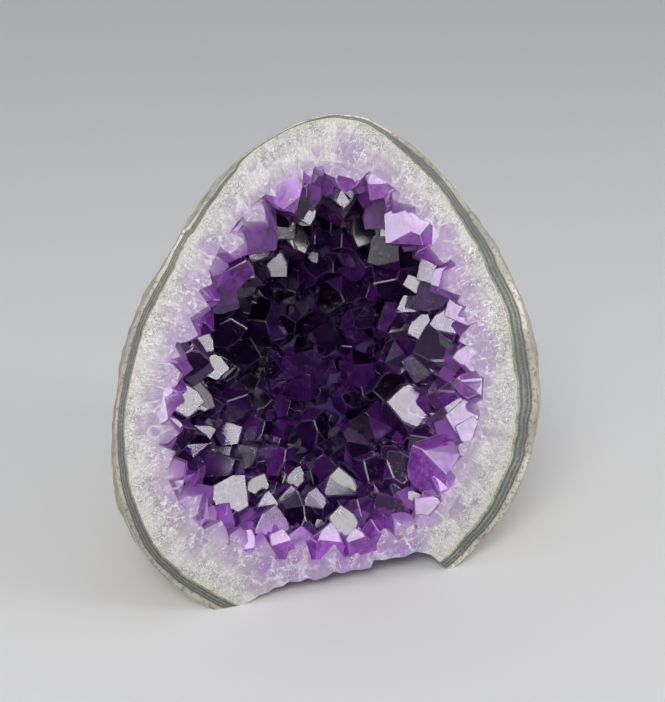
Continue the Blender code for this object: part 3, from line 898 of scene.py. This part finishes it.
# Smaller points, from the widest to the narrowest. Spacing is among themselves and crowding is to
# the points before them, both in radii
scattered = {
    "fillers": {
        "radii": (10, 8.5, 7.5, 6.2), "tries": 900, "spacing": 0.78, "crowding": 0.78,
        "depths": (3 * mm, hollow["depth"]), "heights": (1.25, 1.8),
    },
    "infill": {
        "radii": (5, 4.2, 3.5), "tries": 1500, "spacing": 0.8, "crowding": 0.5,
        "depths": (14 * mm, hollow["depth"]), "heights": (1.0, 1.7),
    },
    "columns": {  # milky columns of the comb, near the rim
        "radii": (6.0, 4.6, 3.4), "tries": 2200, "spacing": 0.85, "crowding": 0.85,
        "depths": (0.5 * mm, 30 * mm), "heights": (0.7, 1.8),
    },
}
rimPoints = {  # depths, heights and the step from one to the next are in radii
    "radii": (7.5, 12.5),
    "depths": (0.35, 1.3),
    "heights": (0.45, 1.0),
    "step": 1.5,
    "backward": Vector((0, 0.05, 0)),  # added to the axis
}
# Where each kind may grow: how far inside the wall, over the floor and behind the cut face
combSpace = {"inset": -0.4 * mm, "above": 1 * mm, "behind": 0.04 * mm}
glassSpace = {"inset": 0.6 * mm, "above": 1.3 * mm, "behind": 0.15 * mm}
variation = random.Random(points["seed"])


def tilted(axis, most):
    across = axis.orthogonal().normalized()
    across.rotate(Matrix.Rotation(variation.uniform(0, math.tau), 3, axis))
    turned = axis.copy()
    turned.rotate(Matrix.Rotation(variation.uniform(0, most), 3, across))
    return turned


def seenTip(wall, u, v, height, least):  # the first place on the sight line within height of the wall
    onFace = Vector((u * mm, 0, 0)) + faceUp * v * mm
    along = (onFace - camera["eye"]).normalized()
    travelled = least
    while travelled < points["sightReach"]:
        tip = onFace + along * travelled
        root, _, _, distance = wall.find_nearest(tip)
        if distance <= height:
            break
        travelled += points["sightStep"]
    return tip, root


def rooted(wall, angle, depth):
    onBowl = place(hollowRadius(angle, depth) - points["layer"], angle, depth, hollow["depth"])
    root, normal, _, _ = wall.find_nearest(onBowl)
    return root, normal


def scatter(wall, places, kind):
    found = []
    for radius in kind["radii"]:
        radius *= mm
        for _ in range(kind["tries"]):
            angle = variation.uniform(0, math.tau)
            depth = variation.uniform(*kind["depths"])
            root, normal = rooted(wall, angle, depth)
            if root.z < points["leastRoot"]:
                continue
            if any((root - spot[0]).length < kind["spacing"] * (radius + spot[2]) for spot in found):
                continue
            if any((root - spot[0]).length < kind["crowding"] * (radius + spot[2]) for spot in places):
                continue
            height = radius * variation.uniform(*kind["heights"])
            found.append((root, tilted(-normal, points["tiltMost"]), radius, height))
    return found


def flashing(tip, axis):  # the turn, nearest to the axis, that makes an end face mirror a lamp to the eye
    toEye = (camera["eye"] - tip).normalized()
    faceAway = math.pi / 2 - points["endTilt"]  # between the axis and an end face's normal
    turns = []
    for _, spot, _, _, _ in lamps:
        halfway = (toEye + (Vector(spot) - faceOrigin - tip).normalized()).normalized()
        across = axis - halfway * axis.dot(halfway)
        leaned = halfway * math.cos(faceAway) + across.normalized() * math.sin(faceAway)
        turns.append((leaned.angle(axis), leaned, halfway))
    _, leaned, halfway = min(turns, key=lambda turn: turn[0])
    outward = (halfway - leaned * halfway.dot(leaned)).normalized()
    side = leaned.cross(outward)
    upright = Matrix((outward, side, leaned)).transposed()
    return leaned, upright @ Matrix.Rotation(math.pi / 3, 3, "Z")  # side 5 of the shape looks outward


# Each place is a root, an axis, a radius, a height, and for the points that flash their turn
def growPlaces(wall):
    grown = []
    for index, (u, v, radius, height) in enumerate(points["large"]):
        flashes = index in points["flashing"]
        radius *= 1 if flashes else points["girth"]
        tip, root = seenTip(wall, u, v, height * mm, points["leastSet"] * radius * mm)
        away = (tip - root).length
        axis = tilted((tip - root).normalized(), points["tiltMost"] / 2)
        turn = []
        if flashes:
            axis, *turn = flashing(tip, axis)
            root = tip - axis * away
        grown.append((root, axis, radius * mm, away, *turn))
    for root, axis, radius, height in scatter(wall, grown, scattered["fillers"]):
        turned, turn = flashing(root + axis * height, axis)
        if turned.angle(axis) < points["flashReach"] and variation.random() < points["flashShare"]:
            grown.append((root, turned, radius, height, turn))
        else:
            grown.append((root, axis, radius, height))
    # a tip that is seen on the ring has its root further in, so it is a stub that looks inwards
    inward = [wall.find_nearest(spot[0])[1] * -1 for spot in grown]
    return [spot if spot[1].dot(normal) > 0 else (spot[0], normal, spot[2], points["stubHeight"] * spot[2])
            for spot, normal in zip(grown, inward)]


def rimRow(wall):  # short stout points close behind the face, all round
    row = []
    angle = 0
    while angle < math.tau:
        radius = variation.uniform(*rimPoints["radii"]) * mm
        root, normal = rooted(wall, angle, radius * variation.uniform(*rimPoints["depths"]))
        if root.z > points["leastRoot"]:
            axis = tilted((rimPoints["backward"] - normal).normalized(), points["tiltMost"])
            row.append((root, axis, radius, radius * variation.uniform(*rimPoints["heights"])))
        angle += rimPoints["step"] * radius / (root - place(0, 0, 0, hollow["depth"])).length
    return row


def cutFlat(bm, point, normal):
    everything = bm.verts[:] + bm.edges[:] + bm.faces[:]
    sliced = bmesh.ops.bisect_plane(bm, geom=everything, plane_co=point, plane_no=normal,
                                    clear_outer=True, dist=1e-7)
    edges = [item for item in sliced["geom_cut"] if isinstance(item, bmesh.types.BMEdge)]
    if edges:
        bmesh.ops.contextual_create(bm, geom=edges)


def pointShape(name, shelf):  # a quartz point of radius 1 with its tip at the origin
    length = points["bodyLength"]
    bm = bmesh.new()
    bmesh.ops.create_cube(bm, size=1)
    bmesh.ops.scale(bm, vec=(points["blockWidth"], points["blockWidth"], 2 * length), verts=bm.verts)
    for side in range(6):
        turn = side * math.pi / 3
        away = Vector((math.cos(turn), math.sin(turn), 0))
        cutFlat(bm, away * variation.uniform(*points["sideOut"]), away)
        endNormal = away * math.cos(points["endTilt"]) + Vector((0, 0, math.sin(points["endTilt"])))
        endOut = points["largeEndOut"] if side % 2 else points["smallEndOut"]
        cutFlat(bm, endNormal * variation.uniform(*endOut), endNormal)
    edgeLayer = bm.faces.layers.float.new("edge")
    lowest = -points["bevelledTo"] * length
    ridges = [edge for edge in bm.edges if max(vert.co.z for vert in edge.verts) > lowest]
    bevelled = bmesh.ops.bevel(bm, geom=ridges, offset=points["bevel"], segments=1, affect="EDGES",
                               clamp_overlap=True)
    for face in bevelled["faces"]:
        face[edgeLayer] = 1
    bmesh.ops.triangulate(bm, faces=bm.faces)
    bmesh.ops.recalc_face_normals(bm, faces=bm.faces)
    mesh = bpy.data.meshes.new(name)
    bm.to_mesh(mesh)
    bm.free()
    shelf.objects.link(bpy.data.objects.new(name, mesh))


def pointCloud(name, places):  # one vertex at each tip, with the turn and size of its point
    mesh = bpy.data.meshes.new(name)
    mesh.from_pydata([spot[0] + spot[1] * spot[3] for spot in places], [], [])
    turns, sizes = [], []
    for _, axis, radius, _, *given in places:
        spin = Matrix.Rotation(variation.uniform(0, math.tau), 3, "Z")
        turn = given[0] if given else axis.to_track_quat("Z", "Y").to_matrix() @ spin
        turns += turn.to_euler()
        sizes.append(radius)
    mesh.attributes.new("turn", "FLOAT_VECTOR", "POINT").data.foreach_set("vector", turns)
    mesh.attributes.new("size", "FLOAT", "POINT").data.foreach_set("value", sizes)
    made = bpy.data.objects.new(name, mesh)
    bpy.context.scene.collection.objects.link(made)
    return made


def growthTree():
    tree = bpy.data.node_groups.new("grow points and join them", "GeometryNodeTree")
    wanted = {"Geometry": "Geometry", "Point Shapes": "Collection", "Cut To": "Object",
              "Grown On": "Object", "Finish": "Material", "Shape Count": "Int", "Seed": "Int"}
    for name, kind in wanted.items():
        tree.interface.new_socket(name, in_out="INPUT", socket_type="NodeSocket" + kind)
    tree.interface.new_socket("Geometry", in_out="OUTPUT", socket_type="NodeSocketGeometry")
    w = Wires(tree)

    def joined(operation, *parts):
        node = w.add("GeometryNodeMeshBoolean", {"operation": operation, "solver": "MANIFOLD"})
        together = [socket for socket in node.inputs if socket.is_multi_input][0]
        for part in parts:
            tree.links.new(part, together)
        return node.outputs["Mesh"]

    given = w.add("NodeGroupInput").outputs
    shapes = w.add("GeometryNodeCollectionInfo", Collection=given["Point Shapes"],
                   Separate_Children=True, Reset_Children=True)
    pick = w.add("FunctionNodeRandomValue", {"data_type": "INT"}, Seed=given["Seed"])
    low, high = (s for s in pick.inputs if s.name in ("Min", "Max") and s.type == "INT")
    low.default_value = 0
    tree.links.new(w.math("SUBTRACT", given["Shape Count"], 1), high)
    picked = [s for s in pick.outputs if s.type == "INT"][0]
    turn = w.add("GeometryNodeInputNamedAttribute", {"data_type": "FLOAT_VECTOR"}, Name="turn").outputs[0]
    size = w.add("GeometryNodeInputNamedAttribute", {"data_type": "FLOAT"}, Name="size").outputs[0]
    rotation = w.add("FunctionNodeEulerToRotation", Euler=turn).outputs[0]
    grown = w.add("GeometryNodeInstanceOnPoints", Points=given["Geometry"],
                  Instance=shapes.outputs[0], Pick_Instance=True, Instance_Index=picked,
                  Rotation=rotation, Scale=size).outputs[0]
    layer, limits = (w.add("GeometryNodeObjectInfo", {"transform_space": "ORIGINAL"},
                           Object=given[name]).outputs["Geometry"] for name in ("Grown On", "Cut To"))
    trimmed = joined("INTERSECT", joined("UNION", grown, layer), limits)
    real = w.add("GeometryNodeRealizeInstances", Geometry=trimmed).outputs[0]
    finished = w.add("GeometryNodeSetMaterial", Geometry=real, Material=given["Finish"])
    w.add("NodeGroupOutput", Geometry=finished.outputs[0])
    return tree


def grow(name, places, shelf, limits, grownOn, finish, seed, tree):
    made = pointCloud(name, places)
    modifier = made.modifiers.new("growth", "NODES")
    modifier.node_group = tree
    values = {"Point Shapes": shelf, "Cut To": limits, "Grown On": grownOn, "Finish": finish,
              "Shape Count": len(shelf.objects), "Seed": seed}
    for item in tree.interface.items_tree:
        if item.in_out == "INPUT" and item.name in values:
            modifier[item.identifier] = values[item.name]
    finishWith(cleaned(applied(made).data), finish)
    print(name, len(made.data.polygons), "faces")
    return made


def growingSpace(name, limits, notch):
    space = asObject(name, hollowEgg(limits["inset"], 0, segments=hollow["fineSegments"]))
    cut(space, notch)
    bm = bmesh.new()
    bm.from_mesh(space.data)
    outOfFace = Vector((0, -math.cos(half["lean"]), math.sin(half["lean"])))
    cutFlat(bm, Vector((0, 0, limits["above"])), Vector((0, 0, -1)))
    cutFlat(bm, Vector((0, limits["behind"], 0)), outOfFace)
    bmesh.ops.triangulate(bm, faces=bm.faces)
    bm.to_mesh(space.data)
    bm.free()
    return space


def makeCrust(combFinish, milkyFinish, glassFinish):
    insideWall = hollowEgg(points["layer"], hollow["mouth"], points["toeHeight"])
    wall = BVHTree.FromBMesh(insideWall)
    places = growPlaces(wall)
    shelf = bpy.data.collections.new("pointShapes")
    for index in range(points["shapes"]):
        pointShape(f"point{index:02d}", shelf)
    infill = scatter(wall, places, scattered["infill"])
    columns = scatter(wall, [], scattered["columns"])
    print("points", len(places), "infill", len(infill), "columns", len(columns))
    notch = notchCutter()
    free = asObject("free", insideWall)
    layer = asObject("layer", hollowEgg(combSpace["inset"], 0, segments=hollow["fineSegments"]))
    cut(layer, free)
    forComb = growingSpace("forComb", combSpace, notch)
    forGlass = growingSpace("forGlass", glassSpace, notch)
    nothing = asObject("nothing", bmesh.new())
    tree = growthTree()
    comb = grow("quartz_comb", columns, shelf, forComb, layer, combFinish, 3, tree)
    every = places + infill
    near = [spot for spot in every if depthOf(spot[0]) < points["glassDepth"]] + rimRow(wall)
    deep = [spot for spot in every if depthOf(spot[0]) >= points["glassDepth"]]
    lilac = grow("lilac_points", near, shelf, forGlass, nothing, milkyFinish, 4, tree)
    amethyst = grow("amethyst_points", deep, shelf, forGlass, nothing, glassFinish, 5, tree)
    forget(forComb, forGlass, free, notch, layer, nothing, *shelf.objects)
    return comb, lilac, amethyst


comb, lilac, amethyst = makeCrust(cutQuartz, amethystGlass("lilac amethyst", milkyLook),
                                  amethystGlass("amethyst", glassLook))
for piece in (comb, lilac, amethyst):
    markPlaces(piece.data, skinTree, bowlTree)
for piece in (lilac, amethyst):
    markFacets(piece.data)
print("places and facets marked")

for piece, node, slot in ((stone, "stone_half", "stone"), (comb, "crystal_crust", "amethyst"),
                          (lilac, "crystal_crust", "amethyst"), (amethyst, "crystal_crust", "amethyst")):
    piece.data.transform(Matrix.Translation(faceOrigin))
    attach(piece, "root")
    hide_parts(node)

# Pale floor, pale room
room = {
    "floorSize": 8,
    "floorColour": (0.86, 0.85, 0.83, 1),
    "floorRoughness": 0.6,
    "airColour": (0.9, 0.93, 1, 1),
    "airStrength": 0.47,
    "lampsAim": Vector((0, 0, 0.09)),
}


def setStage():
    bpy.ops.mesh.primitive_plane_add(size=room["floorSize"], location=(0, 0, 0))
    floor = bpy.context.object
    floor.name = "floor"
    material, shader, _, w, _ = newMaterial("pale floor")
    w.feed(shader, "Base Color", room["floorColour"])
    w.feed(shader, "Roughness", room["floorRoughness"])
    w.feed(shader, "Specular IOR Level", 0.0)
    floor.data.materials.append(material)
    world = bpy.data.worlds.new("soft room")
    world.use_nodes = True
    background = world.node_tree.nodes["Background"]
    background.inputs["Color"].default_value = room["airColour"]
    background.inputs["Strength"].default_value = room["airStrength"]
    bpy.context.scene.world = world
    bpy.context.scene.view_settings.view_transform = "Standard"
    for name, spot, size, radiance, lightsAll in lamps:
        light = bpy.data.lights.new(name, "AREA")
        light.size = size
        light.energy = radiance * math.pi * size**2
        made = bpy.data.objects.new(name, light)
        made.location = spot
        made.rotation_euler = (Vector(spot) - room["lampsAim"]).to_track_quat("Z", "Y").to_euler()
        made.visible_diffuse = lightsAll
        bpy.context.scene.collection.objects.link(made)


setStage()
print("stage set")
